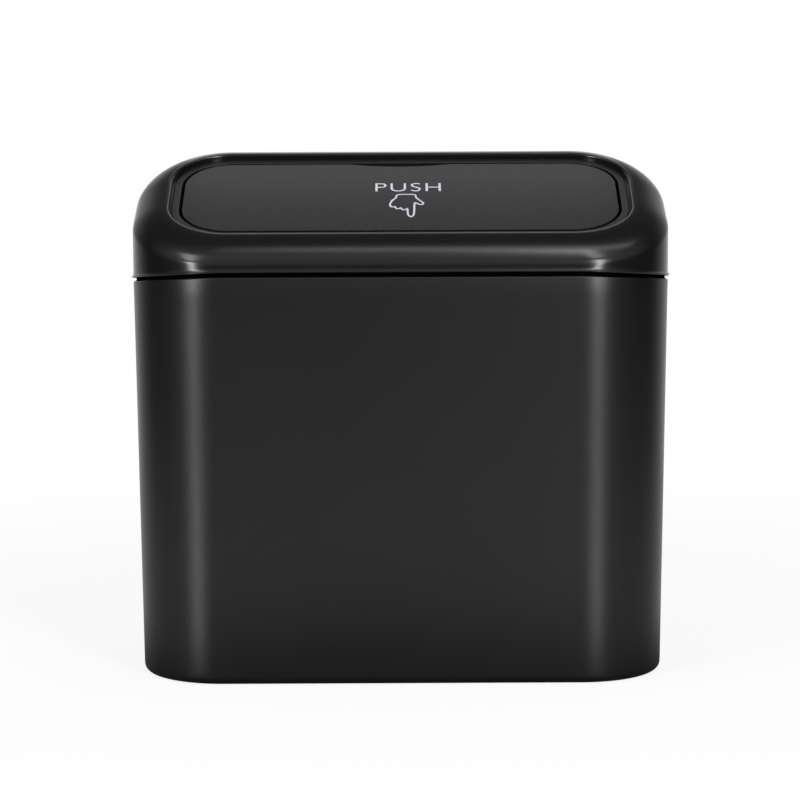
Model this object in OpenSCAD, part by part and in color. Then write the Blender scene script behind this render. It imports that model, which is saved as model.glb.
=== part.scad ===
/* [Bin] */
// Width over the long side, at the seam
bin_w = 155; // [140:1:200]
// Depth over the short side, at the seam
bin_d = 64; // [62:1:74]
// Height of the tub's rim at the middle of the front
tub_h = 117.4; // [90:0.2:170]
// Radius of the upright corners at the seam
corner_r = 26; // [22:0.5:28]
// How far the rim dips at the short ends
rim_dip = 3; // [0:0.1:5]
// How softly the dip begins at the corners
dip_ease = 1.3; // [1:0.1:2]
// How much further the collar's lower edge dips there
edge_dip = 0.3; // [0:0.1:0.6]

/* [Tub] */
// Thickness of the tub's wall
tub_wall = 2.2; // [2:0.1:2.8]
// Thickness of the tub's floor
tub_floor = 2.4; // [1.8:0.1:3.5]
// Draft of the tub's walls, in degrees
tub_draft = 0.8; // [0:0.05:1.5]
// Radius of the outer edge at the foot
foot_r = 2.2; // [0.5:0.1:3]
// Width of the foot ring that the bin stands on
foot_w = 5; // [3:0.5:7]
// Depth of the panel that is recessed inside the foot ring
foot_recess = 1; // [0.5:0.1:1.5]
// Radius between the floor and the wall, inside
floor_r = 3; // [1:0.5:4]
// Rounding of the rim's two edges
rim_r = 0.4; // [0.2:0.1:0.6]

/* [Collar] */
// Slope of the lid in degrees, rising to the rear
lid_slope = 24; // [20:0.5:26]
// Height of the middle of the sloped lip above the rim
collar_rise = 22.1; // [21.5:0.1:28]
// Width of the shoulder from the outside to the lip, at the short ends
shoulder_side = 10.3; // [10:0.1:13]
// Width of the shoulder at the front
shoulder_front = 10.8; // [10.4:0.1:13]
// Width of the shoulder at the rear
shoulder_rear = 7.4; // [7:0.1:8.4]
// Radius of the lip's corners
lip_r = 17.7; // [14:0.5:19]
// Height of the shoulder's rounding at the front
round_front = 4; // [3:0.2:5]
// Height of the shoulder's rounding at the rear
round_rear = 9.2; // [7:0.5:14]
// Wall of the collar
collar_wall = 2; // [1.6:0.1:2.4]
// Rounding of the lip's inner edge
lip_edge = 0.5; // [0.3:0.1:0.8]
// Height of the dark gap between the collar and the rim
shadow_gap = 1.2; // [1:0.1:1.6]
// Depth of that gap
shadow_depth = 0.9; // [0.6:0.1:1.4]
// How far the collar's lower edge flares out
bead = 0.5; // [0:0.05:0.6]
// Height of that flare
bead_h = 1.6; // [0.9:0.1:1.8]
// Depth of the spigot inside the tub's mouth
spigot_depth = 9; // [6:0.5:14]
// Wall of the spigot
spigot_wall = 1.8; // [1.4:0.1:2.2]
// Clearance between the spigot and the tub's wall
spigot_gap = 0.3; // [0.2:0.05:0.5]
// Clearance between the collar's seat and the rim
seat_gap = 0.1; // [0.05:0.05:0.2]
// Chamfer that leads the spigot into the tub
lead_in = 0.4; // [0.2:0.1:0.8]

/* [Frame] */
// Depth of the flap and of the ledge round it below the lip
recess = 1.4; // [1:0.1:2.5]
// Width of the collar's step inside the lip
step_w = 0.8; // [0.7:0.1:1.4]
// Height of the collar's inner wall, square to the lid
inner_wall_h = 6; // [5:0.2:7]
// Thickness of the collar's inner wall
inner_wall = 1.8; // [1.4:0.1:2.2]
// Fine seam between the collar's step and the frame
seam_gap = 0.1; // [0.05:0.05:0.2]
// Width of the frame's ledge
ledge_w = 2; // [1.8:0.1:2.6]
// Thickness of the frame's flange
flange_t = 1.5; // [1.2:0.1:2]
// Radius of the screw bosses
boss_r = 2.4; // [2.2:0.1:2.6]
// Distance of the screws past the straight part of the lip's short ends
screw_past = 1.2; // [0:0.2:1.6]
// Radius of the screw's shank
screw_r = 1.1; // [0.9:0.1:1.2]
// Length of the screw's shank
screw_l = 4.6; // [4:0.1:4.8]
// Radius of the screw's head
screw_head_r = 2.1; // [1.8:0.1:2.4]
// Height of the screw's head
screw_head_h = 1.4; // [1:0.1:1.8]
// Width of the slots in the screw's head
slot_w = 0.6; // [0.4:0.1:0.8]
// Depth of those slots
slot_d = 0.7; // [0.5:0.1:0.9]
// Clearance round the screw's shank
screw_gap = 0.05; // [0.03:0.01:0.1]
// Width of the flange's lug round each boss
lug_w = 0.8; // [0.4:0.1:1]

/* [Flap] */
// Gap round the flap
flap_gap = 1; // [0.8:0.1:1.6]
// Thickness of the flap's plate
plate_t = 1.8; // [1.4:0.1:2]
// Height of the flap at its edge, with the plate
skirt_h = 4; // [3:0.1:4.4]
// Thickness of the flap's edge
skirt_t = 1.4; // [1:0.1:2]
// Thickness of the ribs under the flap
rib_t = 1.2; // [0.8:0.1:1.6]
// Distance between the ribs
rib_pitch = 17; // [14:0.5:18]
// Width of the two stop hooks
hook_w = 8; // [5:0.5:12]
// Distance from the middle to each stop hook
hook_x = 34; // [25:0.5:44]
// Thickness of the stop hooks
hook_t = 1.5; // [1.2:0.1:2]
// How far the stop hooks reach under the frame
hook_reach = 1.6; // [1:0.1:2]
// Clearance between the stop hooks and the frame
stop_gap = 0.15; // [0.1:0.05:0.3]
// Width of the finger notch in the flap's rear edge
notch_w = 30; // [20:1:34]
// Depth of the finger notch
notch_d = 1.6; // [1:0.1:2]

/* [Hinge] */
// Distance from the flap's rear edge to the hinge axis
hinge_in = 2.6; // [2.3:0.1:3]
// Distance from the flap's top to the hinge axis
hinge_drop = 4.4; // [4.4:0.1:5]
// Radius of the steel rod
rod_r = 1.2; // [1:0.1:1.3]
// Running clearance round the rod
rod_gap = 0.05; // [0.03:0.01:0.08]
// Radius of the flap's ears
ear_r = 2.5; // [2.3:0.1:2.6]
// Width of each ear
ear_w = 3; // [2:0.1:3.4]
// Radius of the frame's bearings
bearing_r = 2.2; // [2:0.1:2.3]
// Width of each bearing
bearing_w = 2.4; // [2:0.1:3]
// Distance from each bearing to the corner of the frame's opening
bearing_in = 5.5; // [5:0.1:9]
// Free space between an outer ear and the bearing
ear_gap = 1.2; // [0.5:0.1:2]
// Free length for a spring between the bearing and the inner ear
spring_space = 7.3; // [6.6:0.1:9]
// Clearance at each end of a spring and of a clip
end_gap = 0.3; // [0.2:0.05:0.4]
// Thickness of the wall that carries the bearings
hinge_wall = 1.6; // [1.2:0.1:1.8]
// Depth of that wall, below the ledge
hinge_wall_h = 11; // [10.8:0.1:12]
// Length of the rod past each clip
rod_end = 0.8; // [0.4:0.1:1.2]
// Thickness of the rod's clips
clip_t = 0.8; // [0.5:0.1:1]
// Radius of the rod's clips
clip_r = 2.4; // [2:0.1:2.6]
// Radius of the spring wire
wire_r = 0.35; // [0.25:0.05:0.4]
// Radius of the spring's coil, to the middle of the wire
coil_r = 2; // [1.9:0.05:2.1]
// Turns of each spring
coil_turns = 4; // [3:1:5]
// Length that each turn of the coil takes
coil_pitch = 0.85; // [0.85:0.01:1]
// Length of the spring's leg along the flap
leg_l = 13; // [8:0.5:16]

/* [Hidden] */
$fn = 48;
corner_steps = 12;
round_steps = 8;
wire_sides = 6;
coil_steps = 16;
// Overlap of joined forms and reach of cuts past a face
eps = 0.01;
past = 1;
lid_z = tub_h + collar_rise;
lip_w = bin_w - 2 * shoulder_side;
lip_d = (bin_d - shoulder_front - shoulder_rear) / cos(lid_slope);
lid_y = (shoulder_front - shoulder_rear) / 2;
// The spigot's faces, measured in from the outside of the bin, clear of the drafted wall at its tip
spigot_out = tub_wall + spigot_gap + (spigot_depth + rim_dip) * tan(tub_draft);
spigot_in = spigot_out + spigot_wall;
// The frame's outline, opening and underside, in the lid's own axes
frame_w = lip_w - 2 * (step_w + seam_gap);
frame_d = lip_d - 2 * (step_w + seam_gap);
frame_r = lip_r - step_w - seam_gap;
hole_w = frame_w - 2 * ledge_w;
hole_d = frame_d - 2 * ledge_w;
hole_r = frame_r - ledge_w;
flange_top = -inner_wall_h - seam_gap;
flange_low = flange_top - flange_t;
flange_out = inner_wall + seam_gap;
boss_x = lip_w / 2 - step_w + inner_wall + boss_r;
boss_top = -1.2 * collar_wall;
screw_v = lip_d / 2 - lip_r + screw_past;
// The flap and its hinge axis, in the lid's own axes
flap_w = hole_w - 2 * flap_gap;
flap_d = hole_d - 2 * flap_gap;
flap_r = hole_r - flap_gap;
axis_v = flap_d / 2 - hinge_in;
axis_w = -recess - hinge_drop;
plate_low = -recess - plate_t;
bearing_x = hole_w / 2 - hole_r - bearing_in;
ear_out_x = bearing_x + bearing_w / 2 + ear_gap + ear_w / 2;
ear_in_x = bearing_x - bearing_w / 2 - spring_space - ear_w / 2;
clip_x = ear_out_x + ear_w / 2 + end_gap;
rod_half = clip_x + clip_t + rod_end;
spring_x = ear_in_x + ear_w / 2 + wire_r + end_gap;

// Points round a rounded rectangle, corner by corner
function rounded(w, d, r) = [
    for (q = [0:3], i = [0:corner_steps])
        let (a = 90 * q + 90 * i / corner_steps)
        let (sx = q == 0 || q == 3 ? 1 : -1)
        let (sy = q < 2 ? 1 : -1)
        [sx * (w / 2 - r) + r * cos(a), sy * (d / 2 - r) + r * sin(a)]
];

// Share of the rim's dip at each of those points: none on the long sides, all at the ends
dip_share = [
    for (q = [0:3], i = [0:corner_steps])
        let (turned = q % 2 == 0 ? corner_steps - i : i)
        pow(turned / corner_steps, dip_ease)
];

// The bin's own outline, moved in by an inset
function bin_outline(inset) = rounded(bin_w - 2 * inset, bin_d - 2 * inset, corner_r - inset);

// That outline at one height
function level_ring(inset, z) = [for (p = bin_outline(inset)) [p.x, p.y, z]];

// That outline at a rise above the rim, which dips at the short ends
function rim_ring(inset, rise, dip = rim_dip) =
    let (line = bin_outline(inset))
    [for (i = [0:len(line) - 1]) [line[i].x, line[i].y, tub_h + rise - dip * dip_share[i]]];

// The same above the line of the collar's lower edge
function edge_ring(inset, rise) = rim_ring(inset, rise, rim_dip + edge_dip);

// How far the draft has brought the wall in at a height
function draft_in(z) = (tub_h - z) * tan(tub_draft);

// A point of the lid's own axes in the bin's axes
function tilted(p) = [
    p.x,
    lid_y + p.y * cos(lid_slope) - p.z * sin(lid_slope),
    lid_z + p.y * sin(lid_slope) + p.z * cos(lid_slope)
];

// The lip's outline in the lid's own plane, moved out and down
function lip_ring(out, down) = [
    for (p = rounded(lip_w + 2 * out, lip_d + 2 * out, lip_r + out)) tilted([p.x, p.y, -down])
];

// Height of the plane that lies a depth below the lid, over a point
function plane_z(y, down) = lid_z + (y - lid_y) * tan(lid_slope) - down / cos(lid_slope);

// Height of the shoulder's rounding at a point, which grows from the front to the rear
function round_h(y) = round_front + (round_rear - round_front) * (y + bin_d / 2) / bin_d;

// One ring of a quarter ellipse that runs from the upright wall into the lid's plane
function shoulder_ring(a, inset, out, down, low) =
    let (base = bin_outline(inset))
    let (lip = lip_ring(out, down))
    let (floor_line = edge_ring(inset, low))
    [for (i = [0:len(base) - 1])
        let (top = [base[i].x, base[i].y, plane_z(base[i].y, down)])
        let (start_z = max(top.z - round_h(base[i].y) + down, floor_line[i].z))
        let (start = [top.x, top.y, start_z])
        top + (start - top) * (1 - sin(a)) + (lip[i] - top) * (1 - cos(a))];

// Closes a list of rings: a loop joins the last to the first, otherwise both ends are capped
module skin(rings, loop = false) {
    n = len(rings[0]);
    m = len(rings);
    sides = [
        for (j = [0:m - (loop ? 1 : 2)], i = [0:n - 1])
            let (a = j * n + i)
            let (b = j * n + (i + 1) % n)
            let (c = ((j + 1) % m) * n + (i + 1) % n)
            let (d = ((j + 1) % m) * n + i)
            each [[a, c, b], [a, d, c]]
    ];
    first = [for (i = [0:n - 1]) i];
    last = [for (i = [0:n - 1]) m * n - 1 - i];
    polyhedron([for (r = rings) each r], loop ? sides : concat(sides, [first, last]));
}

// A round wire along a path that turns about the X axis or lies square to it
module wire(path, r) {
    n = len(path);
    rings = [
        for (i = [0:n - 1])
            let (t = path[min(i + 1, n - 1)] - path[max(i - 1, 0)])
            let (side = cross(t, [1, 0, 0]) / norm(cross(t, [1, 0, 0])))
            let (up = cross(side, t) / norm(cross(side, t)))
            [for (k = [0:wire_sides - 1])
                let (a = 360 * k / wire_sides)
                path[i] + r * (cos(a) * side + sin(a) * up)]
    ];
    skin([for (i = [n - 1:-1:0]) rings[i]]);
}

// Places what is drawn in the lid's own axes
module on_lid() {
    translate([0, lid_y, lid_z]) rotate([lid_slope, 0, 0]) children();
}

// A flat slab with round corners, its top at z = 0
module slab(w, d, r, h) {
    translate([0, 0, -h]) linear_extrude(h) {
        square([w - 2 * r, d], center = true);
        square([w, d - 2 * r], center = true);
        for (x = [-1, 1], y = [-1, 1]) translate([x * (w / 2 - r), y * (d / 2 - r)]) circle(r);
    }
}

// A cylinder across the lid, along X, about the hinge axis
module across(x, w, r) {
    translate([x - w / 2, axis_v, axis_w]) rotate([0, 90, 0]) cylinder(w, r, r);
}

// The four places of the screws, in the lid's own axes
module at_screws() {
    for (x = [-1, 1], v = [-1, 1]) translate([x * boss_x, v * screw_v, 0]) children();
}

module tub() {
    inner = tub_wall;
    floor_z = foot_recess + tub_floor;
    rings = concat(
        [level_ring(draft_in(0) + foot_r + foot_w + foot_recess, foot_recess)],
        [level_ring(draft_in(0) + foot_r + foot_w, 0)],
        [for (a = [0:22.5:90]) level_ring(draft_in(0) + foot_r * (1 - sin(a)), foot_r * (1 - cos(a)))],
        [level_ring(draft_in(tub_h - 2 * rim_dip), tub_h - 2 * rim_dip)],
        [for (a = [0:45:90]) rim_ring(rim_r * (1 - cos(a)), rim_r * (sin(a) - 1))],
        [for (a = [90:-45:0]) rim_ring(inner - rim_r * (1 - cos(a)), rim_r * (sin(a) - 1))],
        [level_ring(inner + draft_in(tub_h - 2 * rim_dip), tub_h - 2 * rim_dip)],
        [for (a = [0:22.5:90])
            level_ring(inner + draft_in(0) + floor_r * (1 - cos(a)), floor_z + floor_r * (1 - sin(a)))]
    );
    color("#2b2b2d") skin(rings);
}

module collar() {
    low = shadow_gap + bead_h + bead / 2;
    inner_low = low + bead / 2;
    inner_out = inner_wall - step_w;
    flare_from = shadow_gap + bead;
    flare_h = bead_h - bead;
    rings = concat(
        [edge_ring(shadow_depth, shadow_gap)],
        [edge_ring(0, shadow_gap)],
        [for (a = [30:30:90]) edge_ring(-bead * sin(a), shadow_gap + bead * (1 - cos(a)))],
        [for (a = [45, 90]) edge_ring(-bead * (1 - sin(a)), flare_from + flare_h * (1 - cos(a)))],
        [for (k = [0:round_steps]) shoulder_ring(90 * k / round_steps, 0, lip_edge, 0, low)],
        [for (a = [45, 90]) lip_ring(lip_edge * (1 - sin(a)), lip_edge * (1 - cos(a)))],
        [lip_ring(0, recess)],
        [lip_ring(-step_w, recess)],
        [lip_ring(-step_w, inner_wall_h)],
        [lip_ring(inner_out, inner_wall_h)],
        [for (k = [round_steps:-1:0])
            shoulder_ring(90 * k / round_steps, collar_wall, inner_out, collar_wall, inner_low)],
        [edge_ring(collar_wall, low)],
        [edge_ring(spigot_in, shadow_gap + bead)],
        [rim_ring(spigot_in, -spigot_depth)],
        [rim_ring(spigot_out + lead_in, -spigot_depth)],
        [rim_ring(spigot_out, 2 * lead_in - spigot_depth)],
        [rim_ring(spigot_out, seat_gap)],
        [rim_ring(shadow_depth, seat_gap)]
    );
    color("#2b2b2d") difference() {
        union() {
            skin(rings, loop = true);
            on_lid() at_screws() translate([0, 0, -inner_wall_h])
                cylinder(inner_wall_h + boss_top, boss_r, boss_r);
        }
        on_lid() at_screws() translate([0, 0, -inner_wall_h - past])
            cylinder(screw_l - flange_t + past + seam_gap, screw_r + screw_gap, screw_r + screw_gap);
    }
}

// The flange under the collar's inner wall, with a lug at each screw
module flange() {
    translate([0, 0, flange_top])
        slab(frame_w + 2 * flange_out, frame_d + 2 * flange_out, frame_r + flange_out, flange_t);
    at_screws() translate([0, 0, flange_low]) cylinder(flange_t, boss_r + lug_w, boss_r + lug_w);
}

module hinge_frame() {
    wall_w = 2 * bearing_x + bearing_w;
    color("#242426") on_lid() difference() {
        union() {
            difference() {
                union() {
                    translate([0, 0, -recess]) slab(frame_w, frame_d, frame_r, -recess - flange_low);
                    flange();
                }
                translate([0, 0, past]) slab(hole_w, hole_d, hole_r, past - flange_low + past);
            }
            // The wall behind the hinge, and a bearing on an arm at each side
            translate([-wall_w / 2, hole_d / 2, -recess - hinge_wall_h])
                cube([wall_w, hinge_wall, hinge_wall_h - eps]);
            for (x = [-1, 1]) {
                across(x * bearing_x, bearing_w, bearing_r);
                translate([x * bearing_x - bearing_w / 2, axis_v, -recess - hinge_wall_h])
                    cube([bearing_w, hole_d / 2 - axis_v + eps, axis_w + bearing_r + recess + hinge_wall_h]);
            }
        }
        for (x = [-1, 1]) across(x * bearing_x, bearing_w + 2 * past, rod_r + rod_gap);
        at_screws() translate([0, 0, flange_low - past])
            cylinder(flange_t + 2 * past, screw_r + 2 * screw_gap, screw_r + 2 * screw_gap);
    }
}

module frame_screws() {
    color("#8e8e90") on_lid() at_screws() translate([0, 0, flange_low]) {
        cylinder(screw_l, screw_r, screw_r);
        difference() {
            translate([0, 0, -screw_head_h]) cylinder(screw_head_h, screw_head_r, screw_head_r);
            for (turn = [0, 90]) rotate([0, 0, turn])
                translate([-screw_r, -slot_w / 2, -screw_head_h - past])
                    cube([2 * screw_r, slot_w, past + slot_d]);
        }
    }
}

module hinge_rod() {
    color("#b4b4b6") on_lid() across(0, 2 * rod_half, rod_r);
}

module rod_clips() {
    color("#8e8e90") on_lid() for (x = [-1, 1]) difference() {
        across(x * (clip_x + clip_t / 2), clip_t, clip_r);
        across(x * (clip_x + clip_t / 2), clip_t + 2 * past, rod_r + rod_gap / 5);
    }
}

// The right spring: a leg along the flap, the coil round the rod, and a leg on the frame's wall
module spring() {
    rest_v = hole_d / 2 - wire_r - seam_gap;
    turn = 360 * coil_turns + 90;
    steps = coil_steps * coil_turns + coil_steps / 4;
    end_x = spring_x + coil_pitch * (coil_turns + 0.25);
    path = concat(
        [[spring_x, axis_v - leg_l, axis_w + coil_r]],
        [for (i = [0:steps])
            let (a = 90 - turn * i / steps)
            let (x = spring_x + coil_pitch * turn / 360 * i / steps)
            [x, axis_v + coil_r * cos(a), axis_w + coil_r * sin(a)]],
        [[end_x, rest_v, -recess - hinge_wall_h + hinge_wall]]
    );
    color("#b4b4b6") on_lid() wire(path, wire_r);
}

module spring_right() {
    spring();
}

module spring_left() {
    mirror([1, 0, 0]) spring();
}

module flap() {
    skirt_low = -recess - skirt_h;
    hook_low = flange_low - stop_gap - hook_t;
    rib_from = -flap_d / 2 + skirt_t / 2;
    rib_to = axis_v - ear_r;
    notch_r = (notch_w * notch_w / 4 + notch_d * notch_d) / (2 * notch_d);
    color("#3a3a3c") on_lid() difference() {
        union() {
            translate([0, 0, -recess]) slab(flap_w, flap_d, flap_r, plate_t);
            // The edge turned down at the front and the sides
            difference() {
                translate([0, 0, -recess]) slab(flap_w, flap_d, flap_r, skirt_h);
                translate([0, 0, plate_low])
                    slab(flap_w - 2 * skirt_t, flap_d - 2 * skirt_t, flap_r - skirt_t, skirt_h);
                translate([-flap_w / 2, axis_v - ear_r, skirt_low - past])
                    cube([flap_w, flap_d, skirt_h - plate_t + past]);
            }
            for (k = [-1:1]) translate([k * rib_pitch - rib_t / 2, rib_from, skirt_low])
                cube([rib_t, rib_to - rib_from, skirt_h - eps]);
            // The ears that turn on the rod
            for (x = [-ear_out_x, -ear_in_x, ear_in_x, ear_out_x]) {
                across(x, ear_w, ear_r);
                translate([x - ear_w / 2, axis_v - ear_r, axis_w])
                    cube([ear_w, 2 * ear_r, -recess - axis_w - eps]);
            }
            // The hooks that stop the flap under the frame
            for (x = [-1, 1]) translate([x * hook_x - hook_w / 2, -flap_d / 2, hook_low]) {
                cube([hook_w, skirt_t, -recess - hook_low - plate_t / 2]);
                translate([0, -flap_gap - hook_reach, 0]) cube([hook_w, flap_gap + hook_reach + eps, hook_t]);
            }
        }
        for (x = [-ear_out_x, -ear_in_x, ear_in_x, ear_out_x])
            across(x, ear_w + 2 * past, rod_r + rod_gap);
        // The finger notch: a shallow arc in the rear edge
        translate([0, flap_d / 2 - notch_d + notch_r, plate_low - past])
            cylinder(plate_t + 2 * past, notch_r, notch_r, $fn = 180);
    }
}

tub();
collar();
hinge_frame();
frame_screws();
hinge_rod();
rod_clips();
spring_left();
spring_right();
flap();
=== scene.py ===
import math

import bmesh
import bpy
import numpy as np
from mathutils import Euler, Matrix, Vector


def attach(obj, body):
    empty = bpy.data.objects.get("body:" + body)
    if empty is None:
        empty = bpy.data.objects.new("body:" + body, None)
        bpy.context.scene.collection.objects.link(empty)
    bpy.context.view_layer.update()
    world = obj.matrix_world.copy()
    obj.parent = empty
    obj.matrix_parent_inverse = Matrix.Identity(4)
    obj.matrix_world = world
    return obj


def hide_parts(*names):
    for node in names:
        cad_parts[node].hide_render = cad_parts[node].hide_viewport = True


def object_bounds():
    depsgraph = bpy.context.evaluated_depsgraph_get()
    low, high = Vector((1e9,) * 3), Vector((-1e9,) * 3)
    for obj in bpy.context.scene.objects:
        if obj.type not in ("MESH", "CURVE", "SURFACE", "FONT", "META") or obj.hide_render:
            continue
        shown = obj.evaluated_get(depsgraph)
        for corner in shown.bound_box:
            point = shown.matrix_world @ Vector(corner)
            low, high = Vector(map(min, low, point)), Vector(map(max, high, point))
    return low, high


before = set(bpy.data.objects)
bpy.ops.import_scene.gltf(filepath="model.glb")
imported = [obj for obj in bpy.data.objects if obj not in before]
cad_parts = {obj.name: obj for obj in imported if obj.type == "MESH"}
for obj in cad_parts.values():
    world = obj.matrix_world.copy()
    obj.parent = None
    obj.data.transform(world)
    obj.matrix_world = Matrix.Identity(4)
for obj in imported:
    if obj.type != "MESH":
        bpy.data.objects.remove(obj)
cad_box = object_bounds()

# Camera: an 800 by 800 view from 0.8 m in front of the bin and a little above it, as the photograph was
# taken. The lens is given by its focal length in pixels, and the view is turned by a quarter of a degree.
MM = 0.001
SENSOR_MM = 36.0
FRAME_PX = 800
FOCAL_PX, CENTRE_PX = 2850.6, 401.2
CAMERA_Y, CAMERA_Z = -832, 181.3
PITCH, ROLL = 7.04, 0.25


def linked(name, data):
    """A new object for some data, at the origin and in the scene."""
    item = bpy.data.objects.new(name, data)
    bpy.context.scene.collection.objects.link(item)
    return item


camera = linked("camera", bpy.data.cameras.new("camera"))
camera.data.sensor_width = SENSOR_MM
camera.data.lens = FOCAL_PX * SENSOR_MM / FRAME_PX
camera.data.shift_x = (FRAME_PX / 2 - CENTRE_PX) / FRAME_PX
pitched = Euler((math.radians(90 - PITCH), 0, 0)).to_matrix()
aim = pitched @ Matrix.Rotation(math.radians(-ROLL), 3, "Z")
camera.matrix_world = Matrix.Translation((0, CAMERA_Y * MM, CAMERA_Z * MM)) @ aim.to_4x4()
bpy.context.scene.camera = camera


# Tub: one moulding in black ABS with drafted walls, a rounded foot that stands on a ring, and a soft texture.
# Its rim dips at the short ends, where fingers lift the collar.
BIN_W, BIN_D = 155.0, 64.0
TUB_H = 117.4
CORNER_R = 26.0
RIM_DIP, DIP_EASE = 3.0, 1.3
TUB_WALL, TUB_FLOOR = 2.2, 2.4
DRAFT = math.tan(math.radians(0.8))
FOOT_R, FOOT_W, FOOT_RECESS = 2.2, 5.0, 1.0
FLOOR_R, RIM_R = 3.0, 0.4
OUTER_RINGS = (FOOT_R + 1, 40, 80)
INNER_RING = 60
CORNER_STEPS, QUARTER_STEPS = 28, 8
STRAIGHT = np.array([0.01, 0.04, 0.12, 0.3, 0.5, 0.7, 0.88, 0.96, 0.99])
PLASTIC_IOR = 1.5
CLOUD_MM = 24
PLASTIC_SPREAD = 0.05


def rounded(width, depth, radius):
    """A rounded rectangle as points: an arc about each corner's centre, then the straight's points at their
    shares of its length."""
    turn = np.linspace(0, np.pi / 2, CORNER_STEPS + 1)
    arcs = []
    for quarter, (x, y) in enumerate([(1, 1), (-1, 1), (-1, -1), (1, -1)]):
        angle = turn + quarter * np.pi / 2
        arcs.append(np.column_stack([x * (width / 2 - radius) + radius * np.cos(angle),
                                     y * (depth / 2 - radius) + radius * np.sin(angle)]))
    line = []
    for quarter in range(4):
        start, end = arcs[quarter][-1], arcs[(quarter + 1) % 4][0]
        line += [arcs[quarter], start + (end - start) * STRAIGHT[:, None]]
    return np.concatenate(line)


def dip_share():
    """The share of the rim's dip at each point of the outline: 0 on the long sides, 1 on the short ends, and
    between them the share of the corner's turn, to a power."""
    up = np.linspace(0, 1, CORNER_STEPS + 1) ** DIP_EASE
    flat = np.zeros(len(STRAIGHT))
    return np.concatenate([up[::-1], flat, up, flat + 1, up[::-1], flat, up, flat + 1])


def bin_line(inset):
    """The bin's outline, moved in by an inset."""
    return rounded(BIN_W - 2 * inset, BIN_D - 2 * inset, CORNER_R - inset)


def level(inset, z):
    """The bin's outline at one height."""
    line = bin_line(inset)
    return np.column_stack([line, np.full(len(line), z)])


def on_rim(inset, rise, dip=RIM_DIP):
    """The bin's outline at a rise above the rim, which dips at the short ends."""
    return np.column_stack([bin_line(inset), TUB_H + rise - dip * dip_share()])


def draft_in(z):
    """How far the draft has brought the wall in at a height: the distance below the rim times the draft."""
    return (TUB_H - z) * DRAFT


def lofted(name, rings, loop=False, sharp_deg=40):
    """A closed skin over rings of equal length: quads between neighbours, and the ends capped or joined.
    Its finer steps would reach a little above the CAD part's, so it is cut at the part's height."""
    grid = np.array(rings) * MM
    grid[..., 2] = np.minimum(grid[..., 2], cad_box[1][2])
    count, around = grid.shape[:2]
    ring, i = np.meshgrid(np.arange(count if loop else count - 1), np.arange(around), indexing="ij")
    above, following = (ring + 1) % count, (i + 1) % around
    corners = [ring * around + i, ring * around + following, above * around + following, above * around + i]
    quads = np.stack(corners, -1).reshape(-1, 4).tolist()
    caps = [] if loop else [list(range(around))[::-1], list(range((count - 1) * around, count * around))]
    mesh = bpy.data.meshes.new(name)
    mesh.from_pydata(grid.reshape(-1, 3), [], quads + caps)
    mesh.shade_smooth()
    mesh.set_sharp_from_angle(angle=math.radians(sharp_deg))
    return linked(name, mesh)


def tub_rings():
    """The tub's section: foot recess, foot ring, quarter round, wall, rounded rim, inner wall, quarter round
    and floor. A quarter round is its radius times 1 - sine inwards and 1 - cosine upwards."""
    foot = draft_in(0) + FOOT_R
    floor_z = FOOT_RECESS + TUB_FLOOR
    flare = TUB_H - 2 * RIM_DIP
    quarter = np.linspace(0, np.pi / 2, QUARTER_STEPS + 1)
    rings = [level(foot + FOOT_W + FOOT_RECESS, FOOT_RECESS), level(foot + FOOT_W, 0)]
    rings += [level(draft_in(0) + FOOT_R * (1 - math.sin(a)), FOOT_R * (1 - math.cos(a))) for a in quarter]
    rings += [level(draft_in(z), z) for z in (*OUTER_RINGS, flare)]
    rings += [on_rim(RIM_R * (1 - math.cos(a)), RIM_R * (math.sin(a) - 1)) for a in quarter[::2]]
    rings += [on_rim(TUB_WALL - RIM_R * (1 - math.cos(a)), RIM_R * (math.sin(a) - 1)) for a in quarter[::-2]]
    rings += [level(TUB_WALL + draft_in(z), z) for z in (flare, INNER_RING)]
    foot_wall = TUB_WALL + draft_in(0)
    rings += [level(foot_wall + FLOOR_R * (1 - math.cos(a)), floor_z + FLOOR_R * (1 - math.sin(a)))
              for a in quarter]
    return rings


def linear(code):
    """An sRGB hex colour as linear: c / 12.92 up to 0.04045, and above it (c + 0.055) / 1.055 to the power
    2.4."""
    c = np.array([int(code[i:i + 2], 16) for i in (1, 3, 5)]) / 255
    c = np.where(c <= 0.04045, c / 12.92, ((c + 0.055) / 1.055) ** 2.4)
    return (*c.tolist(), 1.0)


def bare_tree(owner):
    """The emptied shader tree of a material or a world."""
    owner.use_nodes = True
    owner.node_tree.nodes.clear()
    return owner.node_tree


def add(tree, kind, inputs=None, links=None, **settings):
    """Adds one shader node with its settings, its input values and its input links."""
    node = tree.nodes.new(kind)
    for key, value in settings.items():
        setattr(node, key, value)
    for key, value in (inputs or {}).items():
        node.inputs[key].default_value = value
    for key, socket in (links or {}).items():
        tree.links.new(socket, node.inputs[key])
    return node


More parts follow.
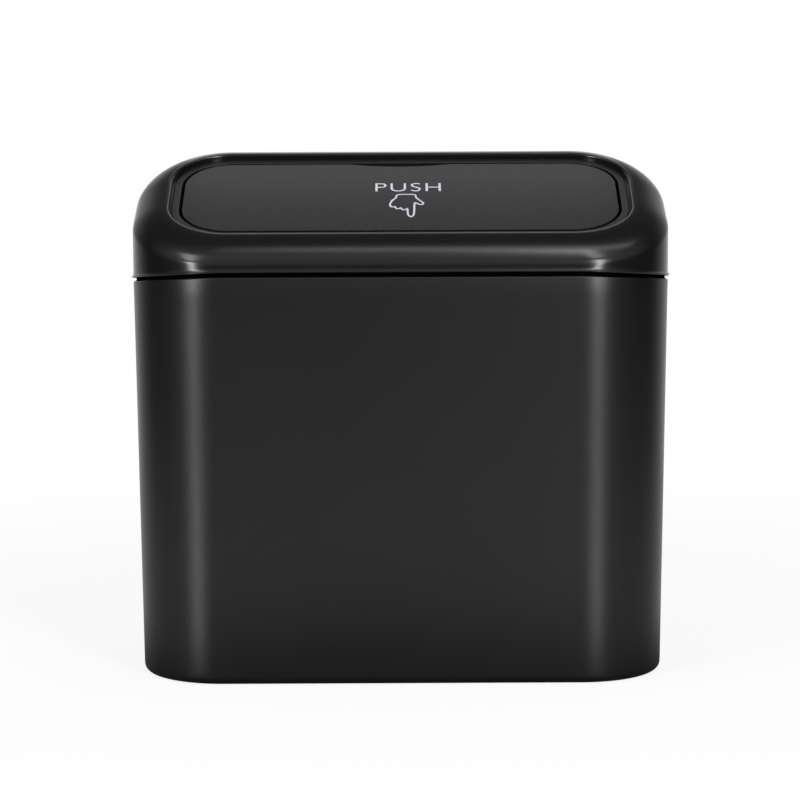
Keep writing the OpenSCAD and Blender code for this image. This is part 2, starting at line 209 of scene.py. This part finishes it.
def moulded(name, dark, light, roughness, gloss, grain_mm, relief_mm):
    """ABS from a spark-eroded mould: noise of the grain's size gives the bump and a spread of roughness, and
    wide noise mixes two near blacks. The real grain, about 0.05 mm, is drawn coarser so that it shows."""
    material = bpy.data.materials.new(name)
    tree = bare_tree(material)
    place = add(tree, "ShaderNodeTexCoord").outputs["Object"]
    grain = add(tree, "ShaderNodeTexNoise", {"Scale": 1 / (grain_mm * MM), "Detail": 2.0}, {"Vector": place})
    cloud = add(tree, "ShaderNodeTexNoise", {"Scale": 1 / (CLOUD_MM * MM), "Detail": 3.0}, {"Vector": place})
    tint = add(tree, "ShaderNodeMix", {"A": linear(dark), "B": linear(light)},
               {"Factor": cloud.outputs["Fac"]}, data_type="RGBA")
    rough = add(tree, "ShaderNodeMapRange",
                {"To Min": roughness - PLASTIC_SPREAD, "To Max": roughness + PLASTIC_SPREAD},
                {"Value": grain.outputs["Fac"]})
    bump = add(tree, "ShaderNodeBump", {"Strength": 1.0, "Distance": relief_mm * MM},
               {"Height": grain.outputs["Fac"]})
    shader = add(tree, "ShaderNodeBsdfPrincipled", {"IOR": PLASTIC_IOR, "Specular IOR Level": gloss},
                 {"Base Color": tint.outputs["Result"], "Roughness": rough.outputs["Result"],
                  "Normal": bump.outputs["Normal"]})
    add(tree, "ShaderNodeOutputMaterial", links={"Surface": shader.outputs["BSDF"]})
    return material


# A satin texture: the lamps' reflections are broad and soft on it.
tub = lofted("tub_shell", tub_rings())
tub.data.materials.append(moulded("black_abs_satin", "#0d0d0e", "#111112", 0.31, 0.5, 0.14, 0.012))
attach(tub, "bin")
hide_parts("tub")


# Collar: the ring round the lid, one moulding in the same ABS, pushed into the tub's mouth. Its shoulder is a
# quarter ellipse from the upright wall into the plane of the sloped lid, and a shadow slot parts it from the
# tub.
SLOPE = math.radians(24)
LID_RISE = 22.1
LID_Z = TUB_H + LID_RISE
SHOULDER_SIDE, SHOULDER_FRONT, SHOULDER_REAR = 10.3, 10.8, 7.4
LID_Y = (SHOULDER_FRONT - SHOULDER_REAR) / 2
LIP_W = BIN_W - 2 * SHOULDER_SIDE
LIP_D = (BIN_D - SHOULDER_FRONT - SHOULDER_REAR) / math.cos(SLOPE)
LIP_R, LIP_EDGE = 17.7, 0.5
ROUND_FRONT, ROUND_REAR = 4.0, 9.2
COLLAR_WALL = 2.0
SHADOW_GAP, SHADOW_DEPTH = 1.2, 0.9
EDGE_DIP = 0.3
BEAD, BEAD_H = 0.5, 1.6
SPIGOT_DEPTH, SPIGOT_GAP, SPIGOT_WALL = 9.0, 0.3, 1.8
SPIGOT_OUT = TUB_WALL + SPIGOT_GAP + (SPIGOT_DEPTH + RIM_DIP) * DRAFT
SPIGOT_IN = SPIGOT_OUT + SPIGOT_WALL
SEAT_GAP, LEAD_IN = 0.1, 0.4
RECESS, STEP_W = 1.4, 0.8
INNER_WALL_H, INNER_WALL = 6.0, 1.8
SHOULDER_STEPS = 24


def lid_point(x, v, w):
    """Points of the lid's own axes, v up the slope and w square to it, turned about X into the bin's axes."""
    return np.column_stack([x, LID_Y + v * math.cos(SLOPE) - w * math.sin(SLOPE),
                            LID_Z + v * math.sin(SLOPE) + w * math.cos(SLOPE)])


def lip_line(out, down):
    """The lip's outline, moved out in the lid's plane and down square to it."""
    line = rounded(LIP_W + 2 * out, LIP_D + 2 * out, LIP_R + out)
    return lid_point(line[:, 0], line[:, 1], np.full(len(line), -down))


def on_edge(inset, rise):
    """The bin's outline at a rise above the collar's lower edge, which dips a little more than the rim."""
    return on_rim(inset, rise, RIM_DIP + EDGE_DIP)


def shoulder(a, inset, out, down, low):
    """A ring of the shoulder at angle a: the corner point above the outline, plus 1 - sine of the half axis
    down to the wall's top, plus 1 - cosine of the half axis in to the lip."""
    base, lip = bin_line(inset), lip_line(out, down)
    top_z = LID_Z + (base[:, 1] - LID_Y) * math.tan(SLOPE) - down / math.cos(SLOPE)
    round_h = ROUND_FRONT + (ROUND_REAR - ROUND_FRONT) * (base[:, 1] + BIN_D / 2) / BIN_D
    start_z = np.maximum(top_z - round_h + down, on_edge(inset, low)[:, 2])
    top = np.column_stack([base, top_z])
    start = np.column_stack([base, start_z])
    return top + (start - top) * (1 - math.sin(a)) + (lip - top) * (1 - math.cos(a))


def collar_rings():
    """The collar's section, once round: bead, wall, shoulder, lip, recess, step, inner wall, inside, spigot
    and seat. The bead is a quarter round outwards, then a longer quarter ellipse back to the wall."""
    low = SHADOW_GAP + BEAD_H + BEAD / 2
    out = INNER_WALL - STEP_W
    flare_z, flare_h = SHADOW_GAP + BEAD, BEAD_H - BEAD
    turn = np.linspace(0, np.pi / 2, SHOULDER_STEPS + 1)
    rings = [on_edge(SHADOW_DEPTH, SHADOW_GAP)]
    rings += [on_edge(-BEAD * math.sin(a), SHADOW_GAP + BEAD * (1 - math.cos(a))) for a in turn[::4]]
    rings += [on_edge(-BEAD * (1 - math.sin(a)), flare_z + flare_h * (1 - math.cos(a))) for a in turn[4::4]]
    rings += [shoulder(a, 0, LIP_EDGE, 0, low) for a in turn]
    rings += [lip_line(LIP_EDGE * (1 - math.sin(a)), LIP_EDGE * (1 - math.cos(a))) for a in turn[6::6]]
    rings += [lip_line(0, RECESS), lip_line(-STEP_W, RECESS), lip_line(-STEP_W, INNER_WALL_H)]
    rings += [lip_line(out, INNER_WALL_H)]
    rings += [shoulder(a, COLLAR_WALL, out, COLLAR_WALL, low + BEAD / 2) for a in turn[::-3]]
    rings += [on_edge(COLLAR_WALL, low), on_edge(SPIGOT_IN, SHADOW_GAP + BEAD)]
    rings += [on_rim(SPIGOT_IN, -SPIGOT_DEPTH), on_rim(SPIGOT_OUT + LEAD_IN, -SPIGOT_DEPTH)]
    rings += [on_rim(SPIGOT_OUT, 2 * LEAD_IN - SPIGOT_DEPTH), on_rim(SPIGOT_OUT, SEAT_GAP)]
    rings += [on_rim(SHADOW_DEPTH, SEAT_GAP)]
    return rings


# A more polished surface: the lamps show as tighter glints. The shadow slot's roof is the loft's first band
# of faces, and its seat and back are the last two. They get a near-black colour, which is painted shade of
# the slot, with full roughness and no specular, and read as one black line.
collar = lofted("collar_shell", collar_rings(), loop=True, sharp_deg=50)
collar.data.materials.append(moulded("black_abs_semigloss", "#0e0e0f", "#121213", 0.2, 0.5, 0.3, 0.002))
# Near black, fully rough and without specular: painted shade for the slot's faces.
collar.data.materials.append(moulded("black_abs_slot_painted_shade", "#020202", "#040404", 0.9, 0.0, 0.3, 0.01))
band = len(bin_line(0))
painted_shade_faces = np.zeros(len(collar.data.polygons), dtype=np.int32)
painted_shade_faces[:band] = 1
painted_shade_faces[-2 * band:] = 1
collar.data.polygons.foreach_set("material_index", painted_shade_faces)
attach(collar, "lid")
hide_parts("collar")


# Hinge frame: the ledge round the flap and the bearings under it, a separate moulding in the same ABS, held
# by four screws. Moulded edges are never knife sharp, so its CAD form is kept and its edges are rounded.
EDGE_R, EDGE_STEPS = 0.18, 2
SHARP_DEG, FLAT_DEG = 35, 1
MERGE_MM = 0.002


def softened(node, name):
    """A copy of a CAD node with its triangles merged to flat faces, and each sharp edge rounded."""
    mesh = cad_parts[node].data.copy()
    mesh.name = name
    work = bmesh.new()
    work.from_mesh(mesh)
    bmesh.ops.remove_doubles(work, verts=work.verts, dist=MERGE_MM * MM)
    bmesh.ops.dissolve_limit(work, angle_limit=math.radians(FLAT_DEG), verts=work.verts, edges=work.edges)
    work.to_mesh(mesh)
    work.free()
    mesh.materials.clear()
    piece = linked(name, mesh)
    bevel = piece.modifiers.new("edges", "BEVEL")
    bevel.width = EDGE_R * MM
    bevel.segments = EDGE_STEPS
    bevel.limit_method = "ANGLE"
    bevel.angle_limit = math.radians(SHARP_DEG)
    mesh.shade_smooth()
    mesh.set_sharp_from_angle(angle=math.radians(SHARP_DEG))
    return piece


# A matte texture: reflections spread so far that the ledge is an even dark grey.
hinge_frame = softened("hinge_frame", "hinge_frame_moulding")
hinge_frame.data.materials.append(moulded("black_abs_matte", "#0f0f10", "#131314", 0.42, 0.5, 0.3, 0.006))
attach(hinge_frame, "lid")
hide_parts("hinge_frame")


# Flap: the plate that is pushed down, one ABS moulding that turns on the rod at its rear. Its fine texture
# holds a soft sheen that fades towards its front, so it reads lighter than the collar.
flap = softened("flap", "flap_moulding")
flap.data.materials.append(moulded("black_abs_fine_texture", "#131314", "#171718", 0.28, 0.5, 0.3, 0.005))
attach(flap, "push_flap")
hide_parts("flap")


# Print on the flap: an instruction word and a pointing hand, pad-printed in lavender white ink 0.03 mm thick.
# The hand is one closed stroke through listed points, from the cuff down to the finger and back.
PRINT_LIFT = 0.03
WORD_W, WORD_H = 19.2, 5.3
WORD_X, WORD_V = 2.3, 5.9
HAND_X, HAND_V = 1.85, -5.9
LETTER_SPACE, LETTER_TRIM = 1.12, -0.008
INK_LINE = 0.55
INK_MOTTLE_MM, INK_ROUGHNESS = 0.8, 0.5
CUTS, CUT_SHARE = 3, 0.2
HAND = np.array([
    [-2.9, 7.2], [2.6, 7.2], [2.7, 5.2], [3.6, 3.6], [4.9, 1.7], [4.6, 0.5], [3.5, 0.8], [2.3, 2.2],
    [2.2, -0.6], [2.1, -5.8], [1.2, -7.4], [0.3, -5.8], [0.2, -1.4], [-0.2, -2.6], [-1.4, -2.6], [-1.7, -1.1],
    [-2.1, -2.0], [-3.2, -1.8], [-3.4, -0.3], [-3.8, -1.0], [-4.7, -0.6], [-4.9, 1.0], [-4.4, 3.0],
    [-3.1, 4.9],
])


def pad_ink(name):
    """Pad-printing ink: an even, slightly soft lavender white, with noise that mixes two shades as a faint
    mottle."""
    material = bpy.data.materials.new(name)
    tree = bare_tree(material)
    place = add(tree, "ShaderNodeTexCoord").outputs["Object"]
    mottle = add(tree, "ShaderNodeTexNoise", {"Scale": 1 / (INK_MOTTLE_MM * MM), "Detail": 2.0},
                 {"Vector": place})
    tint = add(tree, "ShaderNodeMix", {"A": linear("#b6b4c3"), "B": linear("#cfcddc")},
               {"Factor": mottle.outputs["Fac"]}, data_type="RGBA")
    shader = add(tree, "ShaderNodeBsdfPrincipled", {"Roughness": INK_ROUGHNESS, "IOR": PLASTIC_IOR},
                 {"Base Color": tint.outputs["Result"]})
    add(tree, "ShaderNodeOutputMaterial", links={"Surface": shader.outputs["BSDF"]})
    return material


ink = pad_ink("pad_ink_lavender")


def inked(name, points, faces):
    """A flat print just above the flap's top face, from points in the lid's own axes."""
    mesh = bpy.data.meshes.new(name)
    height = np.full(len(points), PRINT_LIFT - RECESS)
    mesh.from_pydata(lid_point(points[:, 0], points[:, 1], height) * MM, [], faces)
    piece = linked(name, mesh)
    piece.data.materials.append(ink)
    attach(piece, "push_flap")


def eased(line):
    """A closed line with its corners cut several times at a share of each side, so that bends are curves."""
    for _ in range(CUTS):
        following = np.roll(line, -1, 0)
        first = line * (1 - CUT_SHARE) + following * CUT_SHARE
        second = line * CUT_SHARE + following * (1 - CUT_SHARE)
        line = np.stack([first, second], 1).reshape(-1, 2)
    return line


def ribbon(line, width):
    """A closed stroke: each point is moved both ways along its normal by half the width."""
    along = np.roll(line, -1, 0) - np.roll(line, 1, 0)
    normal = np.column_stack([-along[:, 1], along[:, 0]]) / np.linalg.norm(along, axis=1)[:, None]
    count = len(line)
    i = np.arange(count)
    following = (i + 1) % count
    faces = np.stack([count + i, count + following, following, i], 1).tolist()
    return np.concatenate([line + normal * width / 2, line - normal * width / 2]), faces


def word_mesh(text):
    """The instruction word in the plain built-in sans, filled flat and scaled to its printed size."""
    curve = bpy.data.curves.new("word", "FONT")
    curve.body = text
    curve.space_character = LETTER_SPACE
    curve.offset = LETTER_TRIM
    holder = linked("word", curve)
    bpy.context.view_layer.update()
    flat = bpy.data.meshes.new_from_object(holder)
    bpy.data.objects.remove(holder)
    points = np.zeros(len(flat.vertices) * 3)
    flat.vertices.foreach_get("co", points)
    points = points.reshape(-1, 3)[:, :2]
    low, high = points.min(0), points.max(0)
    points = (points - (low + high) / 2) / (high - low) * np.array([WORD_W, WORD_H])
    return points, [list(face.vertices) for face in flat.polygons]


letters, letter_faces = word_mesh("PUSH")
inked("print_word", letters + [WORD_X, WORD_V], letter_faces)
stroke, stroke_faces = ribbon(eased(HAND), INK_LINE)
inked("print_hand", stroke + [HAND_X, HAND_V], stroke_faces)


# Hinge hardware: a ground steel rod on which the flap turns, two push-on clips that keep it in its bearings,
# and four zinc-plated screws that hold the frame. They are small and plain, so their CAD nodes are kept.
METAL_SMOOTHER, METAL_ROUGHER = 0.06, 0.08
METAL_RELIEF_MM, METAL_BUMP = 0.004, 0.4


def metal(name, colour, roughness, grain_mm):
    """Bare or plated steel: noise of the grain's size gives the bump and a spread of roughness, which breaks
    up its reflections. The real marks are finer, and are drawn coarse enough to show."""
    material = bpy.data.materials.new(name)
    tree = bare_tree(material)
    place = add(tree, "ShaderNodeTexCoord").outputs["Object"]
    grain = add(tree, "ShaderNodeTexNoise", {"Scale": 1 / (grain_mm * MM), "Detail": 3.0}, {"Vector": place})
    rough = add(tree, "ShaderNodeMapRange",
                {"To Min": roughness - METAL_SMOOTHER, "To Max": roughness + METAL_ROUGHER},
                {"Value": grain.outputs["Fac"]})
    bump = add(tree, "ShaderNodeBump", {"Strength": METAL_BUMP, "Distance": METAL_RELIEF_MM * MM},
               {"Height": grain.outputs["Fac"]})
    shader = add(tree, "ShaderNodeBsdfPrincipled", {"Base Color": linear(colour), "Metallic": 1.0},
                 {"Roughness": rough.outputs["Result"], "Normal": bump.outputs["Normal"]})
    add(tree, "ShaderNodeOutputMaterial", links={"Surface": shader.outputs["BSDF"]})
    return material


ground_steel = metal("ground_steel", "#c4c4c6", 0.25, 0.3)
zinc_plate = metal("zinc_plated_steel", "#9c9ca1", 0.38, 0.5)
for node, finish in (("hinge_rod", ground_steel), ("rod_clips", zinc_plate), ("frame_screws", zinc_plate)):
    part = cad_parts[node]
    part.data.materials.clear()
    part.data.materials.append(finish)


# Springs: two torsion springs of drawn wire round the rod. The coil and its rear leg stay with the frame, and
# the front leg turns with the flap, so each is made in two pieces that meet on the coil's circle.
WIRE_R, WIRE_SIDES = 0.35, 12
COIL_R, COIL_TURNS, COIL_PITCH, COIL_STEPS = 2.0, 4, 0.85, 24
OVERLAP_DEG = 70
LEG_L = 13.0
SPRING_X = 36.15
AXIS_BACK, AXIS_DOWN = 6.5, 4.4
REAR_LEG_BACK, REAR_LEG_DOWN = 3.35, 9.4
AXIS_V, AXIS_W = LIP_D / 2 - AXIS_BACK, -RECESS - AXIS_DOWN
REAR_LEG_V, REAR_LEG_W = LIP_D / 2 - REAR_LEG_BACK, -RECESS - REAR_LEG_DOWN
drawn_wire = metal("drawn_spring_steel", "#a9a9ac", 0.32, 0.2)


def wire(name, x, v, w, body):
    """A round wire along a path in the lid's axes: a circle about each point, square to the path."""
    line = lid_point(x, v, w)
    along = np.gradient(line, axis=0)
    along /= np.linalg.norm(along, axis=1)[:, None]
    across = np.cross([1.0, 0.0, 0.0], along)
    across /= np.linalg.norm(across, axis=1)[:, None]
    up = np.cross(along, across)
    t = np.linspace(0, 2 * np.pi, WIRE_SIDES, endpoint=False)[None, :, None]
    piece = lofted(name, line[:, None] + WIRE_R * (np.cos(t) * across[:, None] + np.sin(t) * up[:, None]))
    piece.data.materials.append(drawn_wire)
    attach(piece, body)
    return piece


for node, side in (("spring_left", -1), ("spring_right", 1)):
    turned = np.linspace(90 + OVERLAP_DEG, -360 * COIL_TURNS, COIL_STEPS * COIL_TURNS + 1)
    x = SPRING_X + COIL_PITCH * (90 - turned) / 360
    x = side * np.append(x, x[-1])
    v = np.append(AXIS_V + COIL_R * np.cos(np.radians(turned)), REAR_LEG_V)
    w = np.append(AXIS_W + COIL_R * np.sin(np.radians(turned)), REAR_LEG_W)
    coil = wire(node + "_coil", x, v, w, "lid")
    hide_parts(node)
    v = np.array([AXIS_V - LEG_L, AXIS_V - LEG_L / 2, AXIS_V])
    wire(node + "_leg", np.full(3, side * SPRING_X), v, np.full(3, AXIS_W + COIL_R), "push_flap")


# Lamps: tall narrow strips at the front left and right, a dimmer strip above each that carries it on over the
# bin, one overhead, and a faint one just above and behind the lid that gives the flap its sheen.
AIM = Vector((0, 0, 0.08))


def strip(name, low, high, width, radiance):
    """A rectangular area lamp from one end to the other, turned about that line to face the bin. Its power is
    its radiance times pi times its area."""
    low, high = Vector(low), Vector(high)
    along = (high - low).normalized()
    middle = (low + high) / 2
    away = middle - AIM
    away = (away - along * away.dot(along)).normalized()
    lamp = bpy.data.lights.new(name, "AREA")
    lamp.shape = "RECTANGLE"
    lamp.size, lamp.size_y = width, (high - low).length
    lamp.energy = radiance * math.pi * lamp.size * lamp.size_y
    turn = Matrix((along.cross(away), along, away)).transposed()
    linked(name, lamp).matrix_world = Matrix.Translation(middle) @ turn.to_4x4()


strip("lamp_left", (-0.80, -1.02, 0.0), (-0.57, -0.70, 0.72), 0.14, 17.0)
strip("lamp_left_high", (-0.52, -0.55, 0.85), (-0.38, -0.12, 1.15), 0.14, 6.5)
strip("lamp_right", (0.53, -1.19, 0.0), (0.34, -0.62, 0.98), 0.15, 15.0)
strip("lamp_right_high", (0.31, -0.45, 1.08), (0.12, 0.08, 1.19), 0.12, 5.0)
strip("lamp_top", (-0.10, 0.135, 1.2), (0.55, 0.135, 1.2), 0.16, 1.5)
strip("lamp_near", (-0.08, 0.113, 0.213), (0.08, 0.113, 0.213), 0.07, 0.70)


# Table: a small sheet of white paper that keeps the bin's soft shadow and fades to pure white at its edge.
# Seen in the bin it shows a painted grey glow with a slight gloss, and painted shade close to the foot:
# glossy rays see emission there, not the lit paper. It lies 0.1 mm under the foot ring, so that the two don't
# share a plane.
TABLE_R, TABLE_SIDES = 0.45, 96
TABLE_GAP = 0.1 * MM
TABLE_WHITE = 0.86
FADE_FROM, FADE_TO = 0.3 * TABLE_R, 0.95 * TABLE_R
MIRROR_FROM, MIRROR_TO = 0.055, 0.16
MIRROR_PAINTED_SHADE, MIRROR_PAINTED_GLOW = 0.03, 0.38
SHEET_SHARE, SHEET_ROUGHNESS = 0.3, 0.15
WHITE = (1, 1, 1, 1)

disc = bmesh.new()
bmesh.ops.create_circle(disc, cap_ends=True, segments=TABLE_SIDES, radius=TABLE_R,
                        matrix=Matrix.Translation((0, 0, -TABLE_GAP)))
mesh = bpy.data.meshes.new("table")
disc.to_mesh(mesh)
disc.free()
table = linked("table", mesh)
paper = bpy.data.materials.new("white_paper")
tree = bare_tree(paper)
rays = add(tree, "ShaderNodeLightPath").outputs
seen = add(tree, "ShaderNodeMath", links={0: rays["Is Camera Ray"], 1: rays["Is Transmission Ray"]},
           operation="MAXIMUM")
place = add(tree, "ShaderNodeTexCoord").outputs["Object"]
reach = add(tree, "ShaderNodeVectorMath", links={0: place}, operation="LENGTH").outputs["Value"]
fade = add(tree, "ShaderNodeMapRange",
           {"From Min": FADE_FROM, "From Max": FADE_TO, "To Min": TABLE_WHITE, "To Max": 1.0},
           {"Value": reach}, interpolation_type="SMOOTHSTEP")
share = add(tree, "ShaderNodeMath", links={0: seen.outputs[0], 1: fade.outputs["Result"]},
            operation="MULTIPLY")
matte = add(tree, "ShaderNodeBsdfDiffuse", {"Color": linear("#f4f4f4")})
white = add(tree, "ShaderNodeEmission", {"Color": WHITE, "Strength": 1.0})
blend = add(tree, "ShaderNodeMixShader",
            links={0: share.outputs[0], 1: matte.outputs[0], 2: white.outputs[0]})
# Glossy rays see emission: painted shade close to the foot, rising to a painted grey glow further out.
near = add(tree, "ShaderNodeMapRange", {"From Min": MIRROR_FROM, "From Max": MIRROR_TO}, {"Value": reach},
           interpolation_type="SMOOTHSTEP")
dark = add(tree, "ShaderNodeEmission", {"Color": WHITE, "Strength": MIRROR_PAINTED_SHADE})
grey = add(tree, "ShaderNodeEmission", {"Color": WHITE, "Strength": MIRROR_PAINTED_GLOW})
sheet = add(tree, "ShaderNodeBsdfGlossy",
            {"Color": (SHEET_SHARE, SHEET_SHARE, SHEET_SHARE, 1), "Roughness": SHEET_ROUGHNESS})
lit = add(tree, "ShaderNodeAddShader", links={0: grey.outputs[0], 1: sheet.outputs[0]})
mirror = add(tree, "ShaderNodeMixShader",
             links={0: near.outputs["Result"], 1: dark.outputs[0], 2: lit.outputs[0]})
final = add(tree, "ShaderNodeMixShader",
            links={0: rays["Is Glossy Ray"], 1: blend.outputs[0], 2: mirror.outputs[0]})
add(tree, "ShaderNodeOutputMaterial", links={"Surface": final.outputs[0]})
table.data.materials.append(paper)


# Room: level light on matt surfaces, and white to the camera. Reflections see a white backdrop behind, which
# fades out from 30 to 58 degrees up, a front that grows brighter with height, and dark sides.
ROOM_LEVEL, ROOM_DARK = 0.35, 0.03
BEHIND_FROM, BEHIND_TO, BEHIND_POWER = 0.2, 1.0, 1.5
BACKDROP_GONE, BACKDROP_FULL = 0.85, 0.5
FRONT_AXIS = (0, -1, 0.5)
FRONT_FROM, FRONT_TO = 0.1, 0.6
HEIGHT_FROM, HEIGHT_TO = -0.15, 0.95
FRONT_LOW, FRONT_HIGH = 0.02, 0.45

world = bpy.data.worlds.new("room")
bpy.context.scene.world = world
tree = bare_tree(world)
rays = add(tree, "ShaderNodeLightPath").outputs
direction = add(tree, "ShaderNodeTexCoord").outputs["Generated"]
axis = add(tree, "ShaderNodeSeparateXYZ", links={"Vector": direction}).outputs
ahead = add(tree, "ShaderNodeVectorMath", {1: FRONT_AXIS}, {0: direction}, operation="DOT_PRODUCT")
behind = add(tree, "ShaderNodeMapRange", {"From Min": BEHIND_FROM, "From Max": BEHIND_TO},
             {"Value": axis["Y"]})
behind = add(tree, "ShaderNodeMath", {1: BEHIND_POWER}, {0: behind.outputs["Result"]}, operation="POWER")
below = add(tree, "ShaderNodeMapRange",
            {"From Min": BACKDROP_GONE, "From Max": BACKDROP_FULL, "To Max": 1.0}, {"Value": axis["Z"]},
            interpolation_type="SMOOTHSTEP")
backdrop = add(tree, "ShaderNodeMath", links={0: behind.outputs[0], 1: below.outputs["Result"]},
               operation="MULTIPLY")
before = add(tree, "ShaderNodeMapRange", {"From Min": FRONT_FROM, "From Max": FRONT_TO},
             {"Value": ahead.outputs["Value"]}, interpolation_type="SMOOTHSTEP")
height = add(tree, "ShaderNodeMapRange",
             {"From Min": HEIGHT_FROM, "From Max": HEIGHT_TO, "To Min": FRONT_LOW, "To Max": FRONT_HIGH},
             {"Value": axis["Z"]})
front = add(tree, "ShaderNodeMath", links={0: before.outputs["Result"], 1: height.outputs["Result"]},
            operation="MULTIPLY")
studio = add(tree, "ShaderNodeMath", links={0: backdrop.outputs[0], 1: front.outputs[0]},
             operation="MAXIMUM")
studio = add(tree, "ShaderNodeMath", {1: ROOM_DARK}, {0: studio.outputs[0]}, operation="MAXIMUM")
level_light = add(tree, "ShaderNodeBackground", {"Color": WHITE, "Strength": ROOM_LEVEL})
mirrored = add(tree, "ShaderNodeBackground", {"Color": WHITE}, {"Strength": studio.outputs[0]})
white = add(tree, "ShaderNodeBackground", {"Color": WHITE, "Strength": 1.0})
glossy = add(tree, "ShaderNodeMath", links={0: rays["Is Glossy Ray"], 1: rays["Is Transmission Ray"]},
             operation="MAXIMUM")
inner = add(tree, "ShaderNodeMixShader",
            links={0: glossy.outputs[0], 1: level_light.outputs[0], 2: mirrored.outputs[0]})
outer = add(tree, "ShaderNodeMixShader",
            links={0: rays["Is Camera Ray"], 1: inner.outputs[0], 2: white.outputs[0]})
add(tree, "ShaderNodeOutputWorld", links={"Surface": outer.outputs[0]})

bpy.context.scene.view_settings.view_transform = "Standard"
